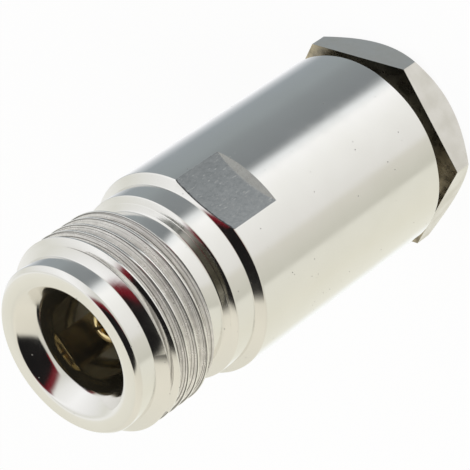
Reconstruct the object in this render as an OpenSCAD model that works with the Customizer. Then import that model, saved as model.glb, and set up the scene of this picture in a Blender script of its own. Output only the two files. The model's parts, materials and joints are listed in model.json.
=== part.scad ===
// Cable-mounted coaxial socket, clamp type: a turned shell with a 5/8-24 coupling thread, a slotted
// centre contact held by two insulators, and the braid clamp, gasket, washer and nut that grip the cable.
// It stands on the nut, with the axis along Z and the mating face on top. Millimetres.

/* [Mating end] */
// Outer diameter of the flat ring on the mating face
face_d = 13.26; // [12.9:0.02:13.5]
// Diameter where the flat ring meets the mouth cone
mouth_d = 11.38; // [11:0.02:11.8]
// Diameter at the inner end of the mouth cone
mouth_inner_d = 9.6; // [9.2:0.05:10]
// Length of the mouth cone
mouth_len = 1.3; // [1:0.05:1.6]
// Length of the second, finer chamfer at the end of the mouth cone
mouth_break = 0.3; // [0.2:0.05:0.4]
// Diameter of the front bore
socket_d = 8.8; // [8.6:0.02:9]
// Depth of the front bore's end below the mating face
socket_depth = 4.0; // [3.6:0.05:4.3]
// Diameter of the inner bore that meets the plug's outer contact
sleeve_d = 8.1; // [8:0.01:8.2]
// Length of the taper between the two bores
sleeve_taper = 0.5; // [0.3:0.05:0.8]
// Depth of the reference plane below the mating face
plane_depth = 9.1; // [8.9:0.02:9.4]

/* [Coupling thread] */
// Diameter of the plain pilot in front of the thread
pilot_d = 13.93; // [13.6:0.01:14.2]
// Length of the edge chamfer between the mating face and the pilot
face_chamfer = 0.38; // [0.2:0.02:0.6]
// Length of the pilot
pilot_len = 1.49; // [1:0.01:1.9]
// Length of the cone that leads onto the thread
lead_len = 0.5; // [0.3:0.05:0.7]
// Crest diameter of the coupling thread
thread_d = 15.875; // [15.7:0.005:16]
// Threads per inch
thread_tpi = 24; // [22:1:28]
// Number of crests
thread_crests = 6; // [4:1:6]
// Length of the cone behind the last crest
runout_len = 0.3; // [0.2:0.05:0.5]
// Diameter of the undercut behind the thread
neck_d = 12.8; // [12.4:0.05:13.4]
// Length of the undercut
neck_len = 1.46; // [1.2:0.02:1.8]

/* [Shell] */
// Length of the shell from the mating face to its cable end
shell_len = 34.17; // [33.5:0.01:36]
// Diameter of the shell
shell_d = 17.1; // [17:0.05:18]
// Diameter of the collar in front of the wrench flats
collar_d = 15.56; // [15:0.01:15.56]
// Diameter of the fine step on the collar's face
collar_step_d = 13.72; // [13.5:0.01:14.2]
// How far the collar's face is dished from the undercut to its step
collar_step_rise = 0.12; // [0.05:0.01:0.2]
// How far the collar's face is dished from its step to its rim
collar_rise = 0.17; // [0.1:0.01:0.3]
// Length of the collar
collar_len = 1.93; // [1.5:0.01:2.4]
// Length of the chamfer from the collar up to the shell
shell_chamfer = 0.48; // [0.3:0.02:0.7]
// Edge break on the shell's cable end
end_chamfer = 0.15; // [0.1:0.01:0.25]
// Distance across the two wrench flats
wrench_af = 16; // [15.9:0.05:16.6]
// Length of a wrench flat, with the chamfer in front of it
wrench_len = 5.3; // [4:0.1:7]
// Turn of the wrench flats about the axis
wrench_turn = 0; // [0:0.5:90]

/* [Centre contact] */
// Diameter of the contact's front barrel
contact_d = 3.04; // [2.9:0.01:3.2]
// Depth of the contact's tip below the mating face
contact_recess = 4.1; // [3.9:0.05:4.6]
// Diameter of the hole for the plug's pin
pin_hole_d = 1.66; // [1.6:0.01:1.75]
// Depth of the pin hole
pin_hole_len = 5.8; // [5:0.1:7]
// Width of the four slots in the barrel
slot_w = 0.28; // [0.2:0.01:0.3]
// Length of the slots
slot_len = 4.6; // [4:0.1:5]
// Turn of the slots about the axis
slot_turn = 45; // [0:5:90]
// Edge break on the contact's tip
tip_chamfer = 0.25; // [0.15:0.01:0.35]
// Diameter of the collar that holds the contact between the insulators
contact_collar_d = 4.6; // [4.4:0.05:5.4]
// Length of that collar
contact_collar_len = 1.2; // [0.8:0.05:1.6]
// Diameter of the solder cup
cup_d = 4.0; // [3.7:0.05:4.2]
// Diameter of the hole for the cable's inner conductor
cup_hole_d = 2.4; // [2.2:0.05:2.7]
// Depth of that hole
cup_hole_len = 4.6; // [4:0.1:4.8]
// How far the solder cup stands out of the rear insulator
cup_reach = 2.5; // [2:0.1:3]
// Diameter of the inspection hole in the side of the cup
cup_port_d = 0.9; // [0.6:0.05:1.2]

/* [Insulators] */
// Diameter of both insulators
insulator_d = 9.1; // [8.8:0.05:9.6]
// Diameter of the front insulator's nose
nose_d = 6.9; // [6.6:0.05:7]
// Length of the lip that the nose passes through
lip_len = 0.9; // [0.7:0.05:1.2]
// How far the nose stays below the reference plane
nose_recess = 0.3; // [0.1:0.05:0.5]
// Length of the front insulator behind the lip
front_insulator_len = 3.4; // [3:0.1:3.8]
// Length of the rear insulator
rear_insulator_len = 3.6; // [3.2:0.1:3.9]

/* [Cable clamp] */
// Inner diameter of the braid clamp, over the cable's dielectric
clamp_bore_d = 7.5; // [7.3:0.05:8]
// Diameter of the braid clamp's nose where it enters the shell
clamp_nose_d = 10.2; // [9.6:0.05:10.4]
// Diameter at the front of the nose
clamp_tip_d = 9.4; // [9:0.05:9.6]
// Length of the nose
clamp_nose_len = 2.7; // [2.4:0.05:2.9]
// Room for the folded braid in front of the nose
braid_room = 0.3; // [0.2:0.05:0.5]
// Thickness of the braid clamp's flange
clamp_flange_t = 1.0; // [0.8:0.05:1.3]
// Height of the ridge on the flange that bites into the gasket
clamp_ridge_h = 0.6; // [0.4:0.05:0.8]
// Length of the gasket
gasket_len = 3.6; // [3:0.1:4]
// Thickness of the washer
washer_t = 1.0; // [0.8:0.05:1.2]
// Diameter of the bore that holds clamp, gasket and washer
chamber_d = 12.9; // [12.7:0.05:13]
// Diameter of the cable's hole through gasket and washer
cable_hole_d = 10.8; // [10.7:0.05:11.2]

/* [Clamp nut] */
// Distance across the hexagon's flats
nut_af = 16; // [15.9:0.1:17]
// Thickness of the hexagon
nut_t = 3.0; // [2.6:0.1:4]
// Length of the chamfer on the hexagon's outer end
nut_chamfer = 1.5; // [0.8:0.1:1.6]
// Turn of the hexagon's corners about the axis
nut_turn = 26.2; // [0:0.1:60]
// Gap between the hexagon and the shell
nut_gap = 1.43; // [1:0.01:1.8]
// Length of the threaded spigot
spigot_len = 8.6; // [8.2:0.1:9]
// Crest diameter of the spigot's thread
spigot_d = 13.9; // [13.8:0.01:14]
// Diameter of the relief groove next to the hexagon
relief_d = 12.6; // [12.2:0.05:13]
// Width of the relief groove
relief_w = 1.2; // [0.8:0.05:1.6]
// Diameter of the cable's hole through the nut
nut_bore_d = 10.6; // [10.4:0.05:10.7]
// Length of the flare at the outer end of that hole
nut_flare = 0.4; // [0.2:0.05:0.6]

/* [Clearances] */
// Radial clearance of the nut's spigot in the shell
thread_clearance = 0.05; // [0.03:0.01:0.08]
// Radial clearance of turned pieces that slide into the shell or onto the contact
slip_clearance = 0.05; // [0.03:0.01:0.08]
// Play between the gasket's groove and the ridge that sits in it
groove_play = 0.05; // [0.03:0.01:0.1]

/* [Hidden] */
$fn = 96;
nickel = [0.80, 0.79, 0.76];
gold = [0.83, 0.65, 0.30];
ptfe = [0.92, 0.91, 0.88];
rubber = [0.16, 0.15, 0.15];
cut = 1;

// A thread's ridges: 60 degree flanks between a crest an eighth and a root a quarter of the pitch wide
thread_pitch = 25.4 / thread_tpi;
crest_w = thread_pitch / 8;
flank_w = (thread_pitch - crest_w - thread_pitch / 4) / 2;
thread_depth = flank_w / tan(30);
root_r = thread_d / 2 - thread_depth;

// Stations along the axis, each the depth below the mating face
pilot_at = face_chamfer;
lead_at = pilot_at + pilot_len;
crest_at = lead_at + lead_len;
last_root_at = crest_at + (thread_crests - 1) * thread_pitch + crest_w + flank_w;
neck_at = last_root_at + runout_len;
step_at = neck_at + neck_len;
rim_at = step_at + collar_step_rise + collar_rise;
chamfer_at = rim_at + collar_len;
shell_at = chamfer_at + shell_chamfer;
seat_at = plane_depth + lip_len;
joint_at = seat_at + front_insulator_len;
insulator_end_at = joint_at + rear_insulator_len;
clamp_at = insulator_end_at + braid_room;
flange_at = clamp_at + clamp_nose_len;
gasket_at = flange_at + clamp_flange_t;
gasket_end_at = gasket_at + gasket_len;
thread_bore_at = gasket_end_at + washer_t * 0.4;
nut_at = shell_len + nut_gap;
spigot_at = nut_at - spigot_len;
washer_at = spigot_at - washer_t;
nut_end_at = nut_at + nut_t;

// Bores that follow the pieces in them
thread_bore_r = spigot_d / 2 + thread_clearance;
insulator_bore_r = insulator_d / 2 + slip_clearance;
lip_r = nose_d / 2 + slip_clearance;
clamp_seat_r = clamp_nose_d / 2 + braid_room;
chamber_piece_r = chamber_d / 2 - slip_clearance * 2;

// Puts what is drawn downwards from the mating face on the floor that the nut stands on
module on_floor() {
  translate([0, 0, nut_end_at]) mirror([0, 0, 1]) children();
}

// Turns an outline of [radius, depth] points about the axis
module turned(outline) {
  on_floor() rotate_extrude() polygon(outline);
}

// The four points of one thread ridge, the first crest being number 0
function ridge(number) =
  let (at = crest_at + number * thread_pitch)
  [if (number > 0) [root_r, at - flank_w],
   [thread_d / 2, at], [thread_d / 2, at + crest_w], [root_r, at + crest_w + flank_w]];

shell_outside = [
  [face_d / 2, 0], [pilot_d / 2, pilot_at], [pilot_d / 2, lead_at],
  for (number = [0 : thread_crests - 1]) each ridge(number),
  [neck_d / 2, neck_at], [neck_d / 2, step_at],
  [collar_step_d / 2, step_at + collar_step_rise], [collar_d / 2, rim_at],
  [collar_d / 2, chamfer_at], [shell_d / 2, shell_at],
  [shell_d / 2, shell_len - end_chamfer], [shell_d / 2 - end_chamfer, shell_len]];

shell_inside = [
  [thread_bore_r + thread_depth, shell_len], [thread_bore_r, shell_len - thread_depth],
  [thread_bore_r, thread_bore_at], [chamber_d / 2, thread_bore_at],
  [chamber_d / 2, flange_at], [clamp_seat_r, flange_at],
  [clamp_seat_r, insulator_end_at], [insulator_bore_r, insulator_end_at],
  [insulator_bore_r, seat_at], [lip_r, seat_at],
  [lip_r, plane_depth], [sleeve_d / 2, plane_depth],
  [sleeve_d / 2, socket_depth + sleeve_taper], [socket_d / 2, socket_depth],
  [socket_d / 2, mouth_len + mouth_break], [mouth_inner_d / 2, mouth_len], [mouth_d / 2, 0]];

// Opposite wrench flats milled across the front of the shell
module wrench_flats() {
  for (side = [0, 180])
    on_floor()
      rotate([0, 0, wrench_turn + side])
        translate([-shell_d, wrench_af / 2, chamfer_at - cut])
          cube([2 * shell_d, shell_d, wrench_len + cut]);
}

module coupling_body() {
  color(nickel)
    difference() {
      turned(concat(shell_outside, shell_inside));
      wrench_flats();
    }
}

module contact_slots() {
  for (turn = [0, 90])
    on_floor()
      rotate([0, 0, slot_turn + turn])
        translate([-slot_w / 2, -contact_d, contact_recess - cut])
          cube([slot_w, 2 * contact_d, slot_len + cut]);
}

module centre_contact() {
  barrel_r = contact_d / 2;
  collar_end_at = joint_at + contact_collar_len;
  cup_end_at = insulator_end_at + cup_reach;
  color(gold)
    difference() {
      turned([
        [pin_hole_d / 2 + tip_chamfer / 2, contact_recess], [barrel_r - tip_chamfer, contact_recess],
        [barrel_r, contact_recess + tip_chamfer], [barrel_r, joint_at],
        [contact_collar_d / 2, joint_at], [contact_collar_d / 2, collar_end_at],
        [cup_d / 2, collar_end_at], [cup_d / 2, cup_end_at],
        [cup_hole_d / 2, cup_end_at], [cup_hole_d / 2, cup_end_at - cup_hole_len],
        [0, cup_end_at - cup_hole_len - cup_hole_d / 4], [0, contact_recess + pin_hole_len + pin_hole_d / 4],
        [pin_hole_d / 2, contact_recess + pin_hole_len], [pin_hole_d / 2, contact_recess + tip_chamfer / 2]]);
      contact_slots();
      on_floor() translate([0, 0, cup_end_at - cup_reach / 2]) rotate([90, 0, 0])
        cylinder(d = cup_port_d, h = cup_d);
    }
}

module front_insulator() {
  hole_r = contact_d / 2 + slip_clearance;
  color(ptfe)
    turned([
      [hole_r, plane_depth + nose_recess], [nose_d / 2, plane_depth + nose_recess],
      [nose_d / 2, seat_at], [insulator_d / 2, seat_at],
      [insulator_d / 2, joint_at], [hole_r, joint_at]]);
}

module rear_insulator() {
  hole_r = cup_d / 2 + slip_clearance;
  pocket_r = contact_collar_d / 2 + slip_clearance;
  color(ptfe)
    turned([
      [pocket_r, joint_at], [insulator_d / 2, joint_at],
      [insulator_d / 2, insulator_end_at], [hole_r, insulator_end_at],
      [hole_r, joint_at + contact_collar_len], [pocket_r, joint_at + contact_collar_len]]);
}

// The ridge stands midway between the cable's hole and the chamber's wall
ridge_r = (cable_hole_d / 2 + chamber_piece_r) / 2;
ridge_half = (chamber_piece_r - cable_hole_d / 2) / 2;

module braid_clamp() {
  color(nickel)
    turned([
      [clamp_bore_d / 2, clamp_at], [clamp_tip_d / 2, clamp_at],
      [clamp_nose_d / 2, flange_at], [chamber_piece_r, flange_at],
      [chamber_piece_r, gasket_at], [ridge_r, gasket_at + clamp_ridge_h],
      [ridge_r - ridge_half, gasket_at], [clamp_bore_d / 2, gasket_at]]);
}

module seal_gasket() {
  face_at = gasket_at + groove_play;
  color(rubber)
    turned([
      [cable_hole_d / 2, face_at], [ridge_r, face_at + clamp_ridge_h],
      [chamber_piece_r, face_at], [chamber_piece_r, gasket_end_at],
      [cable_hole_d / 2, gasket_end_at]]);
}

module thrust_washer() {
  color(nickel)
    turned([
      [cable_hole_d / 2, washer_at], [chamber_piece_r, washer_at],
      [chamber_piece_r, spigot_at], [cable_hole_d / 2, spigot_at]]);
}

module nut_hexagon() {
  corner_r = nut_af / 2 / cos(30);
  intersection() {
    on_floor() rotate([0, 0, nut_turn]) translate([0, 0, nut_at])
      cylinder(r = corner_r, h = nut_t, $fn = 6);
    turned([
      [0, nut_at], [corner_r + cut, nut_at], [corner_r + cut, nut_end_at - nut_chamfer - cut],
      [corner_r - nut_chamfer, nut_end_at], [0, nut_end_at]]);
  }
}

module clamp_nut() {
  spigot_r = spigot_d / 2;
  color(nickel)
    difference() {
      union() {
        nut_hexagon();
        turned([
          [0, spigot_at], [spigot_r - thread_depth, spigot_at], [spigot_r, spigot_at + thread_depth],
          [spigot_r, nut_at - relief_w], [relief_d / 2, nut_at - relief_w],
          [relief_d / 2, nut_at], [0, nut_at]]);
      }
      turned([
        [0, spigot_at - cut], [nut_bore_d / 2, spigot_at - cut],
        [nut_bore_d / 2, nut_end_at - nut_flare], [nut_bore_d / 2 + nut_flare + cut, nut_end_at + cut],
        [0, nut_end_at + cut]]);
    }
}

coupling_body();
centre_contact();
front_insulator();
rear_insulator();
braid_clamp();
seal_gasket();
thrust_washer();
clamp_nut();
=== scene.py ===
import json
import math

import bmesh
import bpy
from mathutils import Matrix, Quaternion, Vector


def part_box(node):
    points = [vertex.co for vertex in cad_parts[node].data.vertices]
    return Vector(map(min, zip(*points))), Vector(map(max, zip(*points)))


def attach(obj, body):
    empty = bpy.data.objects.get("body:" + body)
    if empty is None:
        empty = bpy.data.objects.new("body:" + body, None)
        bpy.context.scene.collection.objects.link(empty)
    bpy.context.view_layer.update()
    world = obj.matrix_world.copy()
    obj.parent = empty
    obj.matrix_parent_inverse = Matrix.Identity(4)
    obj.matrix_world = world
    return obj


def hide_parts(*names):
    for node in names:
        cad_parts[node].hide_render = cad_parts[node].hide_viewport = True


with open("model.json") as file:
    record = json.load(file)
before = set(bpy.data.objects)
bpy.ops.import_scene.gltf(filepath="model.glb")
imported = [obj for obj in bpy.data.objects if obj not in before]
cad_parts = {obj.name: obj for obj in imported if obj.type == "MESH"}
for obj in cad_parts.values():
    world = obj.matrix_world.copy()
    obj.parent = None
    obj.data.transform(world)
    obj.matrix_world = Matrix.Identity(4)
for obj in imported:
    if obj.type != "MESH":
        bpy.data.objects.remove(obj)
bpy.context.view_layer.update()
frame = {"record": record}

mm = 0.001
mounts = {mount["name"]: mount for mount in frame["record"]["mounts"]}
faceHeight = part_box("coupling_body")[1].z / mm


def mountRadius(name):
    return mounts[name]["dims"]["r_mm"]


def lowEnd(node):
    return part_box(node)[0].z / mm


def highEnd(node):
    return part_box(node)[1].z / mm


def widest(node):
    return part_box(node)[1].x / mm


def depths(node):
    # how deep the two ends of a node lie below the mating face
    return faceHeight - highEnd(node), faceHeight - lowEnd(node)


# Camera: a long lens from above, turned over so that the axis runs across the view

view = {
    "azimuth": -23.21,
    "elevation": 38.6,
    "roll": -124.99,
    "distance": 205.38,
    "aim": (0.025, -0.011, 19.489),
    "lens": 203.47,
    "sensor": 36,
    "clip": (0.01, 20),
}


def linked(name, data):
    piece = bpy.data.objects.new(name, data)
    bpy.context.scene.collection.objects.link(piece)
    return piece


def addCamera():
    camera = bpy.data.cameras.new("camera")
    camera.lens = view["lens"]
    camera.sensor_width = view["sensor"]
    camera.clip_start, camera.clip_end = view["clip"]
    piece = linked("camera", camera)
    azimuth = math.radians(view["azimuth"])
    elevation = math.radians(view["elevation"])
    back = Vector((
        math.sin(azimuth) * math.cos(elevation),
        -math.cos(azimuth) * math.cos(elevation),
        math.sin(elevation),
    ))
    piece.rotation_mode = "QUATERNION"
    roll = Quaternion((0, 0, 1), math.radians(view["roll"]))
    piece.rotation_quaternion = (-back).to_track_quat("-Z", "Y") @ roll
    piece.location = (Vector(view["aim"]) + back * view["distance"]) * mm
    bpy.context.scene.camera = piece


addCamera()
bpy.context.scene.view_settings.view_transform = "Standard"
print("camera ready")


# Node helpers

def addNode(tree, kind, inputs=None, **settings):
    node = tree.nodes.new(kind)
    for name, value in settings.items():
        setattr(node, name, value)
    for name, value in (inputs or {}).items():
        if isinstance(value, bpy.types.NodeSocket):
            tree.links.new(value, node.inputs[name])
        else:
            node.inputs[name].default_value = value
    return node


def calc(tree, operation, *values):
    return addNode(tree, "ShaderNodeMath", dict(enumerate(values)), operation=operation).outputs[0]


def vectorCalc(tree, operation, *values, output="Vector"):
    node = addNode(tree, "ShaderNodeVectorMath", dict(enumerate(values)), operation=operation)
    return node.outputs[output]


def ease(tree, value, low, high, lowResult=0.0, highResult=1.0):
    inputs = {"Value": value, "From Min": low, "From Max": high, "To Min": lowResult, "To Max": highResult}
    return addNode(tree, "ShaderNodeMapRange", inputs, interpolation_type="SMOOTHSTEP").outputs[0]


def mixColour(tree, factor, first, second):
    node = addNode(tree, "ShaderNodeMix", {0: factor, 6: first, 7: second}, data_type="RGBA")
    return node.outputs[2]


def ramp(tree, factor, stops):
    node = addNode(tree, "ShaderNodeValToRGB", {"Fac": factor})
    elements = node.color_ramp.elements
    for position, shade in stops[2:]:
        elements.new(position)
    for element, (position, shade) in zip(elements, sorted(stops)):
        element.position = position
        element.color = shade
    return node.outputs["Color"]


def linear(shade):
    return shade / 12.92 if shade <= 0.04045 else ((shade + 0.055) / 1.055) ** 2.4


def screenColour(red, green, blue, over=(1, 1, 1)):
    # a screen colour as linear light, divided by the metal's own colour where it is a reflection
    parts = [linear(shade / 255) / part for shade, part in zip((red, green, blue), over)]
    return (*parts, 1.0)


# Studio: what the metal reflects, by compass bearing from -Y towards -X and by height above the horizon

nickelColour = (0.87, 0.86, 0.84)

studio = {
    "belowHorizon": [
        (-180, (240, 241, 236)), (-150, (249, 249, 249)), (-135, (230, 230, 230)), (-122, (192, 195, 197)),
        (-108, (147, 153, 156)), (-76, (143, 149, 150)), (-62, (134, 139, 140)), (-31, (125, 129, 130)),
        (-26, (146, 149, 149)), (-19, (226, 228, 227)), (-10, (247, 246, 243)), (10, (236, 235, 230)),
        (50, (221, 219, 213)), (57, (208, 205, 194)), (78, (197, 195, 182)), (82, (194, 192, 179)),
        (87, (219, 217, 204)), (125, (221, 218, 202)), (165, (226, 224, 210)), (180, (240, 241, 236)),
    ],
    "aboveHorizon": [
        (-180, (216, 213, 199)), (-155, (222, 219, 205)), (-133, (233, 232, 227)), (-112, (214, 213, 204)),
        (-92, (226, 225, 221)), (-60, (243, 242, 240)), (-30, (228, 227, 223)), (-10, (205, 204, 196)),
        (60, (200, 198, 186)), (100, (214, 209, 193)), (140, (223, 218, 202)), (180, (216, 213, 199)),
    ],
    "turnover": (-26, -8),
    "cardBearing": 45,
    "cardHeight": 60,
    "cardEdge": (33, 41),
    "cardRim": (24, 30),
    "cardColour": (27, 26, 26),
    "rimColour": (112, 22, 34),
    "rimSide": (-0.05, 0.1),
}


def addStudio():
    world = bpy.data.worlds.new("studio")
    bpy.context.scene.world = world
    world.use_nodes = True
    tree = world.node_tree
    tree.nodes.clear()
    direction = addNode(tree, "ShaderNodeTexCoord").outputs["Generated"]
    direction = vectorCalc(tree, "NORMALIZE", direction)
    parts = addNode(tree, "ShaderNodeSeparateXYZ", {0: direction})
    east = calc(tree, "MULTIPLY", parts.outputs[0], -1.0)
    north = calc(tree, "MULTIPLY", parts.outputs[1], -1.0)
    bearing = calc(tree, "ARCTAN2", east, north)
    turn = calc(tree, "MULTIPLY_ADD", bearing, 0.5 / math.pi, 0.5)
    height = calc(tree, "DEGREES", calc(tree, "ARCSINE", parts.outputs[2]))

    def around(stops):
        placed = []
        for degrees, shade in stops:
            placed.append(((degrees + 180) / 360, screenColour(*shade, over=nickelColour)))
        return ramp(tree, turn, placed)

    low = around(studio["belowHorizon"])
    high = around(studio["aboveHorizon"])
    surround = mixColour(tree, ease(tree, height, *studio["turnover"]), low, high)

    side = math.radians(studio["cardBearing"])
    rise = math.radians(studio["cardHeight"])
    centre = (-math.sin(side) * math.cos(rise), -math.cos(side) * math.cos(rise), math.sin(rise))
    away = vectorCalc(tree, "DOT_PRODUCT", direction, centre, output="Value")
    away = calc(tree, "DEGREES", calc(tree, "ARCCOSINE", away))
    left = (math.cos(side), -math.sin(side), 0)
    leftwards = vectorCalc(tree, "DOT_PRODUCT", direction, left, output="Value")
    rim = ease(tree, away, *studio["cardRim"])
    rim = calc(tree, "MULTIPLY", rim, ease(tree, leftwards, *studio["rimSide"]))
    card = mixColour(tree, rim, screenColour(*studio["cardColour"]), screenColour(*studio["rimColour"]))
    surround = mixColour(tree, ease(tree, away, *studio["cardEdge"]), card, surround)

    seen = addNode(tree, "ShaderNodeLightPath")
    plain = calc(tree, "MAXIMUM", seen.outputs["Is Camera Ray"], seen.outputs["Is Transmission Ray"])
    shown = mixColour(tree, plain, surround, (1, 1, 1, 1))
    background = addNode(tree, "ShaderNodeBackground", {"Color": shown})
    output = addNode(tree, "ShaderNodeOutputWorld")
    tree.links.new(background.outputs[0], output.inputs["Surface"])


lamp = {"place": (-0.25, -0.2, 0.45), "size": 0.4, "watts": 1.6}


def addLamp():
    light = bpy.data.lights.new("softLamp", "AREA")
    light.shape = "DISK"
    light.size = lamp["size"]
    light.energy = lamp["watts"]
    piece = linked("softLamp", light)
    piece.location = lamp["place"]
    piece.rotation_mode = "QUATERNION"
    piece.rotation_quaternion = (-Vector(lamp["place"])).to_track_quat("-Z", "Y")
    piece.visible_glossy = False


def asObject(bm, name):
    mesh = bpy.data.meshes.new(name)
    bm.to_mesh(mesh)
    bm.free()
    return linked(name, mesh)


floor = {"radius": 3.0, "paleness": 0.93, "colour": (0.9, 0.9, 0.9, 1)}


def addFloor():
    bm = bmesh.new()
    bmesh.ops.create_circle(bm, cap_ends=True, segments=64, radius=floor["radius"])
    piece = asObject(bm, "floor")
    piece.visible_glossy = False
    material = bpy.data.materials.new("paleFloor")
    material.use_nodes = True
    tree = material.node_tree
    tree.nodes.clear()
    seen = addNode(tree, "ShaderNodeLightPath")
    share = calc(tree, "MAXIMUM", seen.outputs["Is Camera Ray"], seen.outputs["Is Transmission Ray"])
    share = calc(tree, "MULTIPLY", share, floor["paleness"])
    matte = addNode(tree, "ShaderNodeBsdfDiffuse", {"Color": floor["colour"]})
    glow = addNode(tree, "ShaderNodeEmission", {"Color": (1, 1, 1, 1), "Strength": 1.0})
    mixed = addNode(tree, "ShaderNodeMixShader", {0: share, 1: matte.outputs[0], 2: glow.outputs[0]})
    output = addNode(tree, "ShaderNodeOutputMaterial")
    tree.links.new(mixed.outputs[0], output.inputs["Surface"])
    piece.data.materials.append(material)


addStudio()
addLamp()
addFloor()
print("studio ready")


# Materials: each reads Object coordinates, in metres

def newMaterial(name, values):
    material = bpy.data.materials.new(name)
    material.use_nodes = True
    tree = material.node_tree
    shader = tree.nodes["Principled BSDF"]
    for socket, value in values.items():
        shader.inputs[socket].default_value = value
    where = addNode(tree, "ShaderNodeTexCoord").outputs["Object"]
    return material, tree, shader, where


def plug(tree, shader, sources):
    for socket, source in sources.items():
        tree.links.new(source, shader.inputs[socket])


def noise(tree, where, size, detail=2.0):
    inputs = {"Vector": where, "Scale": 1 / (size * mm), "Detail": detail}
    return addNode(tree, "ShaderNodeTexNoise", inputs).outputs[0]


def bump(tree, height, depth, under=None):
    inputs = {"Height": height, "Distance": depth * mm, "Strength": 1.0}
    if under is not None:
        inputs["Normal"] = under
    return addNode(tree, "ShaderNodeBump", inputs).outputs[0]


def along(tree, where, axis):
    return addNode(tree, "ShaderNodeSeparateXYZ", {0: where}).outputs[axis]


def fromAxis(tree, where):
    across = vectorCalc(tree, "MULTIPLY", where, (1, 1, 0))
    return vectorCalc(tree, "LENGTH", across, output="Value")


toolMarks = {"lean": -0.8, "waverSize": 2.5, "detail": 3.0}  # lean: their fall with the radius


def turningLines(tree, where, spacing, waver):
    # rings about the axis: noise along height and radius alone, with a slow waver round the part
    track = calc(tree, "MULTIPLY_ADD", fromAxis(tree, where), toolMarks["lean"], along(tree, where, "Z"))
    wander = calc(tree, "MULTIPLY", noise(tree, where, toolMarks["waverSize"]), waver * mm)
    track = calc(tree, "ADD", track, wander)
    inputs = {"W": track, "Scale": 1 / (spacing * mm), "Detail": toolMarks["detail"]}
    return addNode(tree, "ShaderNodeTexNoise", inputs, noise_dimensions="1D").outputs[0]


pit = {"reach": 0.09, "edge": 0.04}  # in shares of the spacing


def specks(tree, where, size, share):
    # small round marks, where a random share of scattered points comes close to the surface
    found = addNode(tree, "ShaderNodeTexVoronoi", {"Vector": where, "Scale": 1 / (size * mm)})
    parts = addNode(tree, "ShaderNodeSeparateColor", {0: found.outputs["Color"]})
    reach = ease(tree, parts.outputs[0], 1 - share, 1.0, 0.0, pit["reach"])
    gap = calc(tree, "SUBTRACT", reach, found.outputs["Distance"])
    return ease(tree, gap, 0.0, pit["edge"])


plating = {
    "colours": ((0.875, 0.865, 0.845, 1), (0.86, 0.85, 0.825, 1)),
    "cloudSize": 3.0,
    "pitColour": (0.25, 0.25, 0.25, 1),
    "pitSize": 0.65,
    "pitShare": 0.7,
    "pitDepth": 0.02,
    "pitRoughness": 0.3,
    "lineSpacing": 0.12,
    "lineWaver": 0.03,
    "lineDepth": 0.0012,
    "linesFade": (12.6, 12.0),  # depths between which the lines fade out, towards the plain shell
    "linesLeft": 0.1,
    "rippleSize": 0.5,
    "rippleDepth": 0.0006,
    "patchSize": 1.6,
    "roughness": (0.09, 0.17),
}


def brightNickel():
    material, tree, shader, where = newMaterial("brightNickel", {"Metallic": 1.0})
    pits = specks(tree, where, plating["pitSize"], plating["pitShare"])
    cloud = noise(tree, where, plating["cloudSize"], 4.0)
    plain = mixColour(tree, ease(tree, cloud, 0.3, 0.7), *plating["colours"])
    shown = mixColour(tree, pits, plain, plating["pitColour"])
    plainEnd, turnedEnd = [(faceHeight - depth) * mm for depth in plating["linesFade"]]
    turnedPart = ease(tree, along(tree, where, "Z"), plainEnd, turnedEnd, plating["linesLeft"])
    lines = turningLines(tree, where, plating["lineSpacing"], plating["lineWaver"])
    normal = bump(tree, calc(tree, "MULTIPLY", lines, turnedPart), plating["lineDepth"])
    normal = bump(tree, noise(tree, where, plating["rippleSize"], 3.0), plating["rippleDepth"], under=normal)
    normal = bump(tree, calc(tree, "MULTIPLY", pits, -1.0), plating["pitDepth"], under=normal)
    rough = ease(tree, noise(tree, where, plating["patchSize"], 4.0), 0.3, 0.75, *plating["roughness"])
    rough = calc(tree, "MULTIPLY_ADD", pits, plating["pitRoughness"], rough)
    plug(tree, shader, {"Base Color": shown, "Normal": normal, "Roughness": rough})
    return material


flanks = {
    "metallic": 0.72,
    "plain": ((0.97, 0.955, 0.93, 1), (0.86, 0.845, 0.82, 1)),
    "torn": ((0.42, 0.40, 0.38, 1), (0.24, 0.23, 0.22, 1)),
    "cloudSize": 0.6,
    "lineSpacing": 0.11,
    "lineWaver": 0.05,
    "lineEdge": (0.38, 0.52),
    "lineDepth": 0.045,
    "grainSize": 0.3,
    "grainDepth": 0.006,
    "crestShade": (0.13, 0.07),  # how far below the crest the painted shade line starts and ends
    "crestShadeShare": 0.75,
    "crestShadeColour": (0.1, 0.1, 0.095, 1),
    "roughness": (0.26, 0.38),
}


def chasedNickel():
    # the thread's flanks: torn into fine lines that break up what they reflect
    material, tree, shader, where = newMaterial("chasedNickel", {"Metallic": flanks["metallic"]})
    cloud = noise(tree, where, flanks["cloudSize"], 4.0)
    plain = mixColour(tree, ease(tree, cloud, 0.35, 0.7), *flanks["plain"])
    torn = mixColour(tree, cloud, *flanks["torn"])
    lines = turningLines(tree, where, flanks["lineSpacing"], flanks["lineWaver"])
    shown = mixColour(tree, ease(tree, lines, *flanks["lineEdge"]), torn, plain)
    # painted shade: the flanks darken just below the crest, a dark line beside the bright crest where the
    # turns shade each other
    lineStart, lineEnd = [(mountRadius("coupling_thread") - below) * mm for below in flanks["crestShade"]]
    crestShade = ease(tree, fromAxis(tree, where), lineStart, lineEnd, 0.0, flanks["crestShadeShare"])
    shown = mixColour(tree, crestShade, shown, flanks["crestShadeColour"])
    normal = bump(tree, lines, flanks["lineDepth"])
    normal = bump(tree, noise(tree, where, flanks["grainSize"], 3.0), flanks["grainDepth"], under=normal)
    rough = ease(tree, cloud, 0.3, 0.7, *flanks["roughness"])
    plug(tree, shader, {"Base Color": shown, "Normal": normal, "Roughness": rough})
    return material


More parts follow.
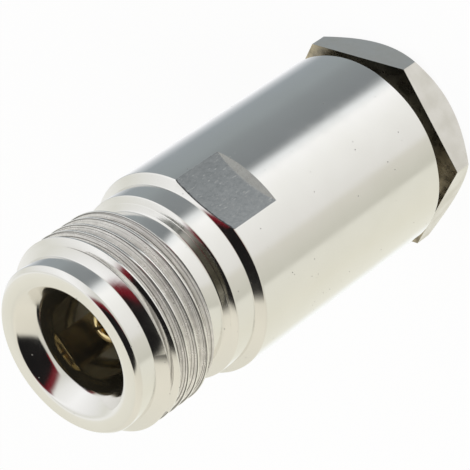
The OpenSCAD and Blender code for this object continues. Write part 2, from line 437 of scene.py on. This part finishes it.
seats = {
    "colours": ((0.06, 0.056, 0.045, 1), (0.12, 0.11, 0.085, 1)),
    "farSide": (-5.2, -8.2),  # along X, in mm
    "cloudSize": 1.0,
    "cloudLow": 0.35,
    "lineSpacing": 0.1,
    "lineWaver": 0.03,
    "lineDepth": 0.002,
    "roughness": (0.22, 0.34),
}


def paintedShadeNickel(name, nearSide, pale):
    # painted shade: a seat coloured dark, with painted light making it paler towards both sides along X
    material, tree, shader, where = newMaterial(name, {"Metallic": 1.0})
    aside = along(tree, where, "X")
    sides = [ease(tree, aside, start * mm, end * mm) for start, end in (nearSide, seats["farSide"])]
    cloud = noise(tree, where, seats["cloudSize"], 3.0)
    cloud = ease(tree, cloud, 0.3, 0.7, seats["cloudLow"], 1.0)
    dark = mixColour(tree, cloud, *seats["colours"])
    shown = mixColour(tree, calc(tree, "MULTIPLY", calc(tree, "MAXIMUM", *sides), cloud), dark, pale)
    lines = turningLines(tree, where, seats["lineSpacing"], seats["lineWaver"])
    normal = bump(tree, lines, seats["lineDepth"])
    rough = ease(tree, cloud, seats["cloudLow"], 1.0, *seats["roughness"])
    plug(tree, shader, {"Base Color": shown, "Normal": normal, "Roughness": rough})
    return material


flats = {
    "colours": ((0.54, 0.55, 0.55, 1), (0.40, 0.41, 0.41, 1)),
    "cloudSize": 0.35,
    "cloudDepth": 0.004,
    "scratches": [(35, 0.07, 0.7), (-50, 0.08, 0.5)],  # turn, width and length
    "scratchEdge": (0.66, 0.74),
    "scratchColour": (0.92, 0.92, 0.9, 1),
    "scratchShare": 0.5,
    "scratchDepth": 0.006,
    "frontDepth": 7.98,  # the painted dark reflection line's depth on the axis, and how much it comes down with the radius
    "frontFall": -0.53,
    "frontJag": -0.3,
    "frontJagSize": 0.25,
    "frontWidth": 0.07,
    "frontShadeColour": (0.12, 0.12, 0.12, 1),
    "patchSize": 0.8,
    "roughness": (0.14, 0.24),
}


def scratches(tree, where, turn, width, length):
    inputs = {
        "Vector": where,
        "Rotation": (0, math.radians(turn), 0),
        "Scale": (1 / width, 1 / width, 1 / length),
    }
    stretched = addNode(tree, "ShaderNodeMapping", inputs).outputs[0]
    return ease(tree, noise(tree, stretched, 1.0), *flats["scratchEdge"])


def milledNickel():
    material, tree, shader, where = newMaterial("milledNickel", {"Metallic": 1.0})
    marks = calc(tree, "MAXIMUM", *[scratches(tree, where, *scratch) for scratch in flats["scratches"]])
    cloud = noise(tree, where, flats["cloudSize"], 4.0)
    plain = mixColour(tree, cloud, *flats["colours"])
    share = calc(tree, "MULTIPLY", marks, flats["scratchShare"])
    shown = mixColour(tree, share, plain, flats["scratchColour"])
    # painted dark reflection: the flat darkens in front of a jagged line at its rough front edge, where the
    # edge strip mirrors a dark card
    front = (faceHeight - flats["frontDepth"]) * mm
    front = calc(tree, "MULTIPLY_ADD", fromAxis(tree, where), flats["frontFall"], front)
    behind = calc(tree, "SUBTRACT", front, along(tree, where, "Z"))
    jags = noise(tree, where, flats["frontJagSize"], 3.0)
    jagged = calc(tree, "MULTIPLY_ADD", jags, flats["frontJag"] * mm, behind)
    clearOfShade = ease(tree, jagged, -flats["frontWidth"] * mm, 0.0)
    shown = mixColour(tree, clearOfShade, flats["frontShadeColour"], shown)
    normal = bump(tree, cloud, flats["cloudDepth"])
    normal = bump(tree, marks, flats["scratchDepth"], under=normal)
    rough = ease(tree, noise(tree, where, flats["patchSize"], 3.0), 0.3, 0.7, *flats["roughness"])
    plug(tree, shader, {"Base Color": shown, "Normal": normal, "Roughness": rough})
    return material


nutPlating = {
    "colours": ((0.83, 0.81, 0.78, 1), (0.76, 0.74, 0.70, 1)),
    "cloudSize": 1.5,
    "grainSize": 0.14,
    "grainDepth": 0.008,
    "dimpleColour": (0.4, 0.38, 0.33, 1),
    "dimpleSize": 0.5,
    "dimpleShare": 0.3,
    "dimpleStrength": 0.35,
    "dimpleDepth": 0.006,
    "roughness": (0.3, 0.4),
}


def satinNickel():
    material, tree, shader, where = newMaterial("satinNickel", {"Metallic": 1.0})
    grain = noise(tree, where, nutPlating["grainSize"], 3.0)
    cloud = noise(tree, where, nutPlating["cloudSize"], 3.0)
    plain = mixColour(tree, ease(tree, cloud, 0.3, 0.7), *nutPlating["colours"])
    dimples = specks(tree, where, nutPlating["dimpleSize"], nutPlating["dimpleShare"])
    strength = calc(tree, "MULTIPLY", dimples, nutPlating["dimpleStrength"])
    shown = mixColour(tree, strength, plain, nutPlating["dimpleColour"])
    normal = bump(tree, grain, nutPlating["grainDepth"])
    normal = bump(tree, dimples, nutPlating["dimpleDepth"], under=normal)
    rough = ease(tree, cloud, 0.3, 0.7, *nutPlating["roughness"])
    plug(tree, shader, {"Base Color": shown, "Normal": normal, "Roughness": rough})
    return material


turning = {
    "patchSize": 1.2,
    "patchEdge": (0.35, 0.7),
    "lineSpacing": 0.1,
    "lineWaver": 0.03,
    "lineDepth": 0.0015,
}


def turnedMetal(name, colours, roughness, metallic=1.0):
    # plated or bare turned metal: rings from the tool, and duller patches
    material, tree, shader, where = newMaterial(name, {"Metallic": metallic})
    low, high = roughness
    patches = ease(tree, noise(tree, where, turning["patchSize"], 4.0), *turning["patchEdge"])
    shown = mixColour(tree, patches, *colours)
    lines = turningLines(tree, where, turning["lineSpacing"], turning["lineWaver"])
    normal = bump(tree, lines, turning["lineDepth"])
    rough = calc(tree, "MULTIPLY_ADD", patches, high - low, low)
    plug(tree, shader, {"Base Color": shown, "Normal": normal, "Roughness": rough})
    return material


beads = {
    "colours": ((0.93, 0.92, 0.89, 1), (0.86, 0.85, 0.81, 1)),
    "cloudSize": 1.0,
    "lineSpacing": 0.15,
    "lineWaver": 0.05,
    "lineDepth": 0.004,
    "roughness": 0.42,
    "glow": 0.25,
    "glowReach": (0.0006, 0.0005, 0.0004),
}


def fluoropolymer():
    material, tree, shader, where = newMaterial("fluoropolymer", {
        "Roughness": beads["roughness"],
        "Subsurface Weight": beads["glow"],
        "Subsurface Radius": beads["glowReach"],
    })
    shown = mixColour(tree, noise(tree, where, beads["cloudSize"], 3.0), *beads["colours"])
    lines = turningLines(tree, where, beads["lineSpacing"], beads["lineWaver"])
    normal = bump(tree, lines, beads["lineDepth"])
    plug(tree, shader, {"Base Color": shown, "Normal": normal})
    return material


gasket = {
    "colours": ((0.045, 0.044, 0.043, 1), (0.025, 0.025, 0.026, 1)),
    "cloudSize": 0.8,
    "grainSize": 0.08,
    "grainDepth": 0.01,
    "roughness": (0.5, 0.68),
}


def gasketRubber():
    material, tree, shader, where = newMaterial("gasketRubber", {})
    cloud = noise(tree, where, gasket["cloudSize"], 3.0)
    shown = mixColour(tree, cloud, *gasket["colours"])
    normal = bump(tree, noise(tree, where, gasket["grainSize"]), gasket["grainDepth"])
    rough = ease(tree, cloud, 0.3, 0.7, *gasket["roughness"])
    plug(tree, shader, {"Base Color": shown, "Normal": normal, "Roughness": rough})
    return material


nickel = brightNickel()
chased = chasedNickel()
milled = milledNickel()
satin = satinNickel()
plastic = fluoropolymer()
rubber = gasketRubber()
# painted shade on the nut's front face, for the dark gap behind the shell, lighter towards the sides
shadedSeatNickel = paintedShadeNickel("shadedSeatNickel", (5.2, 8.2), (0.62, 0.55, 0.42, 1))
# painted shade on the thread's end shoulder, dark only over a band along X so that the collar face mirrors it
# dark
shadedShoulderNickel = paintedShadeNickel("shadedShoulderNickel", (-2.2, 0.2), (0.85, 0.82, 0.76, 1))
# painted shade: the bore wall's dark olive colour stands for the shade deep inside the bore
shadedBoreNickel = turnedMetal("shadedBoreNickel", ((0.40, 0.37, 0.28, 1), (0.34, 0.31, 0.235, 1)), (0.05, 0.08), 0.95)
gold = turnedMetal("goldPlate", ((0.98, 0.83, 0.50, 1), (0.90, 0.73, 0.40, 1)), (0.12, 0.22))
brass = turnedMetal("bareBrass", ((0.86, 0.69, 0.36, 1), (0.70, 0.53, 0.26, 1)), (0.2, 0.36))
print("materials ready")


# Mesh helpers: work is in millimetres, with depths counted down from the mating face

def turned(corners, steps):
    # a closed outline of (radius, depth, rounding) corners, rounded and then spun about the axis
    bm = bmesh.new()
    points = [bm.verts.new((radius, 0, faceHeight - depth)) for radius, depth, rounding in corners]
    for start, end in zip(points, points[1:] + points[:1]):
        bm.edges.new((start, end))
    for point, (radius, depth, rounding) in zip(points, corners):
        if rounding:
            bmesh.ops.bevel(bm, geom=[point], offset=rounding, offset_type="OFFSET", segments=3,
                            profile=0.5, affect="VERTICES", material=-1, clamp_overlap=True)
    bmesh.ops.spin(bm, geom=bm.verts[:] + bm.edges[:], cent=(0, 0, 0), axis=(0, 0, 1), dvec=(0, 0, 0),
                   angle=2 * math.pi, steps=steps, use_merge=True, use_duplicate=False)
    bmesh.ops.remove_doubles(bm, verts=bm.verts, dist=1e-5)
    bmesh.ops.recalc_face_normals(bm, faces=bm.faces)
    return bm


# flats in shares of the pitch, the rest in mm
thread = {
    "flankAngle": 30,  # half of the thread's own angle
    "crestFlat": 1 / 8,
    "rootFlat": 1 / 4,
    "crestEase": 0.025,
    "easeSpread": 1.1,
    "toolReach": 0.06,
    "toolGap": 0.004,
    "stepsPerTurn": 128,
}


def threadRoot(crest, pitch):
    flankWidth = pitch * (1 - thread["crestFlat"] - thread["rootFlat"]) / 2
    return crest - flankWidth / math.tan(math.radians(thread["flankAngle"]))


def threadTool(crest, pitch, start, end):
    # cuts a right-hand thread: the groove's section, spun with a rise at each step
    root = threadRoot(crest, pitch)
    eased = crest - thread["crestEase"]
    rootHalf = pitch * thread["rootFlat"] / 2
    flankHalf = rootHalf + (eased - root) * math.tan(math.radians(thread["flankAngle"]))
    crestHalf = flankHalf + thread["crestEase"] * thread["easeSpread"]
    outerHalf = pitch / 2 - thread["toolGap"]
    outer = crest + thread["toolReach"]
    side = [(root, rootHalf), (eased, flankHalf), (crest, crestHalf), (outer, outerHalf)]
    section = side + [(radius, -half) for radius, half in reversed(side)]
    bm = bmesh.new()
    corners = [bm.verts.new((radius, 0, start + rise)) for radius, rise in section]
    face = bm.faces.new(corners)
    turns = (end - start) / pitch
    count = round(thread["stepsPerTurn"] * turns)
    bmesh.ops.spin(bm, geom=[face], cent=(0, 0, 0), axis=(0, 0, 1), dvec=(0, 0, (end - start) / count),
                   angle=2 * math.pi * turns, steps=count, use_merge=False, use_duplicate=False)
    bmesh.ops.recalc_face_normals(bm, faces=bm.faces)
    return bm


def block(low, high, turn=0):
    bm = bmesh.new()
    bmesh.ops.create_cube(bm, size=1)
    bmesh.ops.scale(bm, vec=Vector(high) - Vector(low), verts=bm.verts)
    bmesh.ops.translate(bm, vec=(Vector(low) + Vector(high)) / 2, verts=bm.verts)
    spin = Matrix.Rotation(math.radians(turn), 3, "Z")
    bmesh.ops.rotate(bm, cent=(0, 0, 0), matrix=spin, verts=bm.verts)
    return bm


def combined(bm, tools):
    # the first solid after each (operation, tool) in turn
    piece = asObject(bm, "work")
    extras = []
    for operation, tool in tools:
        extra = asObject(tool, "tool")
        extras.append(extra)
        modifier = piece.modifiers.new("cut", "BOOLEAN")
        modifier.operation = operation
        modifier.object = extra
        modifier.solver = "MANIFOLD"
    bpy.context.view_layer.update()
    evaluated = piece.evaluated_get(bpy.context.evaluated_depsgraph_get())
    result = bmesh.new()
    result.from_mesh(evaluated.to_mesh())
    evaluated.to_mesh_clear()
    for made in [piece] + extras:
        mesh = made.data
        bpy.data.objects.remove(made)
        bpy.data.meshes.remove(mesh)
    return result


sharpAngle = 40


def finished(bm, name, body, node, materials):
    # edges stay sharp where they are steep, or where one finish meets another
    bmesh.ops.scale(bm, vec=(mm, mm, mm), verts=bm.verts)
    for face in bm.faces:
        face.smooth = True
    for edge in bm.edges:
        kinds = {face.material_index for face in edge.link_faces}
        edge.smooth = len(kinds) == 1 and edge.calc_face_angle(0) < math.radians(sharpAngle)
    piece = asObject(bm, name)
    for material in materials:
        piece.data.materials.append(material)
    weighted = piece.modifiers.new("evenShading", "WEIGHTED_NORMAL")
    weighted.weight = 100
    weighted.keep_sharp = True
    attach(piece, body)
    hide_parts(node)
    print(name, len(piece.data.polygons), "faces")


# Shell: one turned body with a cut thread, two milled flats and the bores inside

shell = {
    "faceDiameter": 13.26,
    "mouthDiameter": 10.9,
    "throatDiameter": 8.4,
    "throatDepth": 1.49,
    "sleeveDiameter": 8.1,
    "sleeveDepth": 2.8,
    "planeDepth": 9.1,
    "pilotDiameter": 13.93,
    "faceChamfer": 0.38,
    "pilotLength": 1.49,
    "leadLength": 0.5,
    "threadsPerInch": 24,
    "threadEnd": 7.42,
    "grooveStart": 8.711,
    "grooveEnd": 1.2,
    "neckStart": 7.425,
    "neckDiameter": 13.5,
    "neckLength": 2.225,
    "stepDiameter": 14.5,
    "stepRise": 0.26,
    "stepHeight": 0.03,
    "stepWidth": 0.02,
    "collarDiameter": 15.56,
    "collarRise": 0.23,
    "collarLength": 1.93,
    "shellChamfer": 0.41,
    "flatLength": 5.3,
    "lipLength": 0.9,
    "noseBore": 7.0,
    "beadBore": 9.2,
    "beadsLength": 7.0,
    "clampBore": 10.8,
    "clampDepth": 3.0,
    "chamberBore": 12.9,
    "chamberLength": 5.0,
    "threadBore": 14.0,
    "threadLead": 0.5,
    "boreShadeFrom": 1.5,  # depth from which the bore wall is painted darker, as shade inside the deep bore
    "chasedFrom": 2.3,  # depth from which the thread's rear flanks are chased
    "tornFrom": 3.22,  # depth from which its front flanks are too
    "steps": 240,
}


def makeShell():
    pitch = 25.4 / shell["threadsPerInch"]
    crest = mountRadius("coupling_thread")
    root = threadRoot(crest, pitch)
    pilotEnd = shell["faceChamfer"] + shell["pilotLength"]
    threadStart = pilotEnd + shell["leadLength"]
    threadEnd = shell["threadEnd"]
    neckEnd = shell["neckStart"] + shell["neckLength"]
    step = neckEnd + shell["stepRise"]
    rim = step + shell["stepHeight"] + shell["collarRise"]
    collarEnd = rim + shell["collarLength"]
    shellStart = collarEnd + shell["shellChamfer"]
    cableEnd = faceHeight - lowEnd("coupling_body")
    plane = shell["planeDepth"]
    seat = plane + shell["lipLength"]
    beadEnd = seat + shell["beadsLength"]
    clampEnd = beadEnd + shell["clampDepth"]
    chamberEnd = clampEnd + shell["chamberLength"]
    outside = [
        (shell["faceDiameter"] / 2, 0, 0.12),
        (shell["pilotDiameter"] / 2, shell["faceChamfer"], 0.1),
        (shell["pilotDiameter"] / 2, pilotEnd, 0.05),
        (crest, threadStart, 0.05),
        (crest, threadEnd, 0.03),
        (shell["neckDiameter"] / 2, shell["neckStart"], 0.1),
        (shell["neckDiameter"] / 2, neckEnd, 0.12),
        (shell["stepDiameter"] / 2, step, 0.01),
        (shell["stepDiameter"] / 2 + shell["stepWidth"], step + shell["stepHeight"], 0.01),
        (shell["collarDiameter"] / 2, rim, 0.08),
        (shell["collarDiameter"] / 2, collarEnd, 0.06),
        (widest("coupling_body"), shellStart, 0.12),
        (widest("coupling_body"), cableEnd, 0.15),
    ]
    inside = [
        (shell["threadBore"] / 2 + shell["threadLead"], cableEnd, 0.05),
        (shell["threadBore"] / 2, cableEnd - shell["threadLead"], 0.05),
        (shell["threadBore"] / 2, chamberEnd, 0.05),
        (shell["chamberBore"] / 2, chamberEnd, 0.05),
        (shell["chamberBore"] / 2, clampEnd, 0.05),
        (shell["clampBore"] / 2, clampEnd, 0.05),
        (shell["clampBore"] / 2, beadEnd, 0.05),
        (shell["beadBore"] / 2, beadEnd, 0.05),
        (shell["beadBore"] / 2, seat, 0.03),
        (shell["noseBore"] / 2, seat, 0.05),
        (shell["noseBore"] / 2, plane, 0.05),
        (shell["sleeveDiameter"] / 2, plane, 0.05),
        (shell["sleeveDiameter"] / 2, shell["sleeveDepth"], 0.2),
        (shell["throatDiameter"] / 2, shell["throatDepth"], 0.3),
        (shell["mouthDiameter"] / 2, 0, 0.3),
    ]
    flatHeight = abs(mounts["wrench_flats"]["pos_m"][1]) / mm
    flatEnd = faceHeight - collarEnd - shell["flatLength"]
    flatTop = faceHeight - collarEnd + 1
    reach = 2 * widest("coupling_body")
    groove = threadTool(crest, pitch, faceHeight - shell["grooveStart"], faceHeight - shell["grooveEnd"])
    body = combined(turned(outside + inside, shell["steps"]), [
        ("DIFFERENCE", groove),
        ("DIFFERENCE", block((-reach, flatHeight, flatEnd), (reach, reach, flatTop))),
        ("DIFFERENCE", block((-reach, -reach, flatEnd), (reach, -flatHeight, flatTop))),
    ])

    def finishOf(face):
        # by where the face lies and which way it looks
        centre = face.calc_center_median()
        radius = math.hypot(centre.x, centre.y)
        depth = faceHeight - centre.z
        if abs(face.normal.y) > 0.999 and abs(abs(centre.y) - flatHeight) < 0.01:
            return milled
        if shell["chasedFrom"] < depth < threadEnd and root - 0.05 < radius < crest - 0.02:
            return chased if depth > shell["tornFrom"] or face.normal.z < 0.3 else nickel
        # the thread's end shoulder takes painted shade
        if face.normal.z < -0.9 and abs(depth - threadEnd) < 0.05:
            return shadedShoulderNickel
        # the bore wall takes painted shade
        if radius < shell["throatDiameter"] / 2 and shell["boreShadeFrom"] < depth < seat:
            return shadedBoreNickel
        return nickel

    finishes = [nickel, milled, chased, shadedBoreNickel, shadedShoulderNickel]
    for face in body.faces:
        face.material_index = finishes.index(finishOf(face))
    finished(body, "shellBody", "shell", "coupling_body", finishes)


# Centre contact: a slotted socket on a collar, with a solder cup at its cable end

contact = {
    "barrelDiameter": 3.04,
    "recess": 4.1,
    "holeDepth": 5.8,
    "tipRounding": 0.25,
    "slotWidth": 0.28,
    "slotLength": 4.6,
    "slotReach": 5,
    "slotTurns": (55, 145),
    "collarDiameter": 4.6,
    "collarStart": 13.4,
    "collarLength": 1.2,
    "cupDiameter": 4.0,
    "cupHole": 2.4,
    "cupDepth": 4.6,
    "centreRadius": 0.02,  # a fine centre hole joins the two drilled points
    "steps": 96,
}


def makeContact():
    barrel = contact["barrelDiameter"] / 2
    hole = mountRadius("pin_socket")
    tip = contact["recess"]
    holeEnd = tip + contact["holeDepth"]
    collar = contact["collarDiameter"] / 2
    collarStart = contact["collarStart"]
    collarEnd = collarStart + contact["collarLength"]
    cup = contact["cupDiameter"] / 2
    cupHole = contact["cupHole"] / 2
    cupEnd = faceHeight - lowEnd("centre_contact")
    cupFloor = cupEnd - contact["cupDepth"]
    outline = [
        (barrel, tip, contact["tipRounding"]),
        (barrel, collarStart, 0.03),
        (collar, collarStart, 0.06),
        (collar, collarEnd, 0.06),
        (cup, collarEnd, 0.03),
        (cup, cupEnd, 0.08),
        (cupHole, cupEnd, 0.08),
        (cupHole, cupFloor, 0),
        (contact["centreRadius"], cupFloor - cupHole / 2, 0),
        (contact["centreRadius"], holeEnd + hole / 2, 0),
        (hole, holeEnd, 0),
        (hole, tip, 0.15),
    ]
    half = contact["slotWidth"] / 2
    reach = contact["slotReach"]
    low = (-half, -reach, faceHeight - tip - contact["slotLength"])
    high = (half, reach, faceHeight)
    slots = [("DIFFERENCE", block(low, high, turn)) for turn in contact["slotTurns"]]
    body = combined(turned(outline, contact["steps"]), slots)
    finished(body, "slottedContact", "shell", "centre_contact", [gold])


# Inner turned pieces

inner = {
    "frontBeadNose": 6.9,
    "frontBeadHole": 3.14,
    "rearBeadHole": 4.1,
    "rearBeadPocket": 4.7,
    "rearBeadPocketDepth": 1.2,
    "clampBore": 7.5,
    "clampTip": 9.4,
    "clampNose": 10.2,
    "clampNoseLength": 2.7,
    "flangeThickness": 1.0,
    "cableHole": 10.8,
    "beadSteps": 96,
    "ringSteps": 128,
}


def makeFrontBead():
    top, bottom = depths("front_insulator")
    seat = shell["planeDepth"] + shell["lipLength"]
    rim = widest("front_insulator")
    outline = [
        (inner["frontBeadHole"] / 2, top, 0.04),
        (inner["frontBeadNose"] / 2, top, 0.08),
        (inner["frontBeadNose"] / 2, seat, 0),
        (rim, seat, 0.06),
        (rim, bottom, 0.06),
        (inner["frontBeadHole"] / 2, bottom, 0.04),
    ]
    bead = turned(outline, inner["beadSteps"])
    finished(bead, "frontBead", "shell", "front_insulator", [plastic])


def makeRearBead():
    top, bottom = depths("rear_insulator")
    rim = widest("rear_insulator")
    pocketEnd = top + inner["rearBeadPocketDepth"]
    outline = [
        (inner["rearBeadPocket"] / 2, top, 0.04),
        (rim, top, 0.06),
        (rim, bottom, 0.06),
        (inner["rearBeadHole"] / 2, bottom, 0.06),
        (inner["rearBeadHole"] / 2, pocketEnd, 0.03),
        (inner["rearBeadPocket"] / 2, pocketEnd, 0.03),
    ]
    bead = turned(outline, inner["beadSteps"])
    finished(bead, "rearBead", "shell", "rear_insulator", [plastic])


def makeClampRing():
    top, ridgeEnd = depths("braid_clamp")
    flange = top + inner["clampNoseLength"]
    flangeEnd = flange + inner["flangeThickness"]
    rim = widest("braid_clamp")
    ridge = (inner["cableHole"] / 2 + rim) / 2
    outline = [
        (inner["clampBore"] / 2, top, 0.12),
        (inner["clampTip"] / 2, top, 0.12),
        (inner["clampNose"] / 2, flange, 0.05),
        (rim, flange, 0.08),
        (rim, flangeEnd, 0.03),
        (ridge, ridgeEnd, 0.08),
        (2 * ridge - rim, flangeEnd, 0.03),
        (inner["clampBore"] / 2, flangeEnd, 0.1),
    ]
    ring = turned(outline, inner["ringSteps"])
    finished(ring, "clampRing", "shell", "braid_clamp", [brass])


def makeGasket():
    # the clamp's ridge seats in the groove of its front face
    top, bottom = depths("seal_gasket")
    groove = faceHeight - lowEnd("braid_clamp")
    hole = inner["cableHole"] / 2
    rim = widest("seal_gasket")
    outline = [
        (hole, top, 0.05),
        ((hole + rim) / 2, groove, 0.08),
        (rim, top, 0.05),
        (rim, bottom, 0.15),
        (hole, bottom, 0.15),
    ]
    ring = turned(outline, inner["ringSteps"])
    finished(ring, "gasketRing", "shell", "seal_gasket", [rubber])


def makeWasher():
    top, bottom = depths("thrust_washer")
    hole = inner["cableHole"] / 2
    rim = widest("thrust_washer")
    outline = [(hole, top, 0.12), (rim, top, 0.12), (rim, bottom, 0.06), (hole, bottom, 0.06)]
    ring = turned(outline, inner["ringSteps"])
    finished(ring, "thrustRing", "washer", "thrust_washer", [brass])


# Clamp nut: a hexagon with a chamfered outer end, on a threaded spigot

nut = {
    "acrossFlats": 16.0,
    "thickness": 3.0,
    "chamfer": 1.5,
    "cornerTurn": 26.2,
    "edgeBreak": 0.07,
    "spigotDiameter": 13.9,
    "threadPitch": 1.0,
    "threadLead": 0.5,
    "threadRunIn": 0.8,
    "reliefDiameter": 12.6,
    "reliefWidth": 1.2,
    "reliefSlope": 0.2,
    "holeBreak": 0.15,
    "flare": 0.4,
    "overlap": 0.5,  # how far the spigot reaches into the hexagon before the hole is cut
    "centreRadius": 0.01,  # a fine centre hole through the cutters, which are rings
    "steps": 192,
    "chamferSteps": 240,
}


def makeNut():
    # depths again run down from the mating face: spigot's front end, hexagon's seat and outer face
    front = faceHeight - highEnd("clamp_nut")
    seat = faceHeight - nut["thickness"]
    foot = faceHeight
    corner = nut["acrossFlats"] / 2 / math.cos(math.radians(30))
    bore = mountRadius("cable_entry")
    spigot = nut["spigotDiameter"] / 2
    relief = nut["reliefDiameter"] / 2
    reliefEnd = seat - nut["reliefWidth"]
    overlap = nut["overlap"]
    centre = nut["centreRadius"]
    past = 1  # how far the tools reach past the work
    hexagon = bmesh.new()
    bmesh.ops.create_cone(hexagon, cap_ends=True, segments=6, radius1=corner, radius2=corner,
                          depth=nut["thickness"])
    bmesh.ops.rotate(hexagon, cent=(0, 0, 0), verts=hexagon.verts,
                     matrix=Matrix.Rotation(math.radians(nut["cornerTurn"] - 90), 3, "Z"))
    bmesh.ops.translate(hexagon, vec=(0, 0, nut["thickness"] / 2), verts=hexagon.verts)
    chamferTool = turned([
        (centre, foot + past, 0),
        (corner - nut["chamfer"] - past, foot + past, 0),
        (corner + past, foot - nut["chamfer"] - past, 0),
        (corner + past, seat - past, 0),
        (centre, seat - past, 0),
    ], nut["chamferSteps"])
    hexagon = combined(hexagon, [("INTERSECT", chamferTool)])
    sharp = [edge for edge in hexagon.edges if edge.is_manifold and edge.calc_face_angle(0) > 0.3]
    bmesh.ops.bevel(hexagon, geom=sharp, offset=nut["edgeBreak"], offset_type="OFFSET", segments=2,
                    profile=0.5, affect="EDGES", material=-1, clamp_overlap=True)
    stem = turned([
        (bore - overlap, front, 0),
        (spigot - nut["threadLead"], front, 0.05),
        (spigot, front + nut["threadLead"], 0.05),
        (spigot, reliefEnd, 0.1),
        (relief, reliefEnd + nut["reliefSlope"], 0.1),
        (relief, seat + overlap, 0),
        (bore - overlap, seat + overlap, 0),
    ], nut["steps"])
    hole = turned([
        (centre, front - past, 0),
        (bore + nut["holeBreak"], front - past, 0),
        (bore + nut["holeBreak"], front, 0),
        (bore, front + nut["holeBreak"], 0),
        (bore, foot - nut["flare"], 0.15),
        (bore + nut["flare"] + past, foot + past, 0),
        (centre, foot + past, 0),
    ], nut["steps"])
    groove = threadTool(spigot, nut["threadPitch"], nut["thickness"] + nut["reliefWidth"] / 2,
                        highEnd("clamp_nut") + nut["threadRunIn"])
    body = combined(hexagon, [("UNION", stem), ("DIFFERENCE", hole), ("DIFFERENCE", groove)])
    # the nut's front face takes the painted shade of the gap behind the shell
    for face in body.faces:
        if face.normal.z > 0.9:
            face.material_index = 1
    finished(body, "hexNut", "nut", "clamp_nut", [satin, shadedSeatNickel])


makeShell()
makeContact()
makeFrontBead()
makeRearBead()
makeClampRing()
makeGasket()
makeWasher()
makeNut()
print("pieces ready")
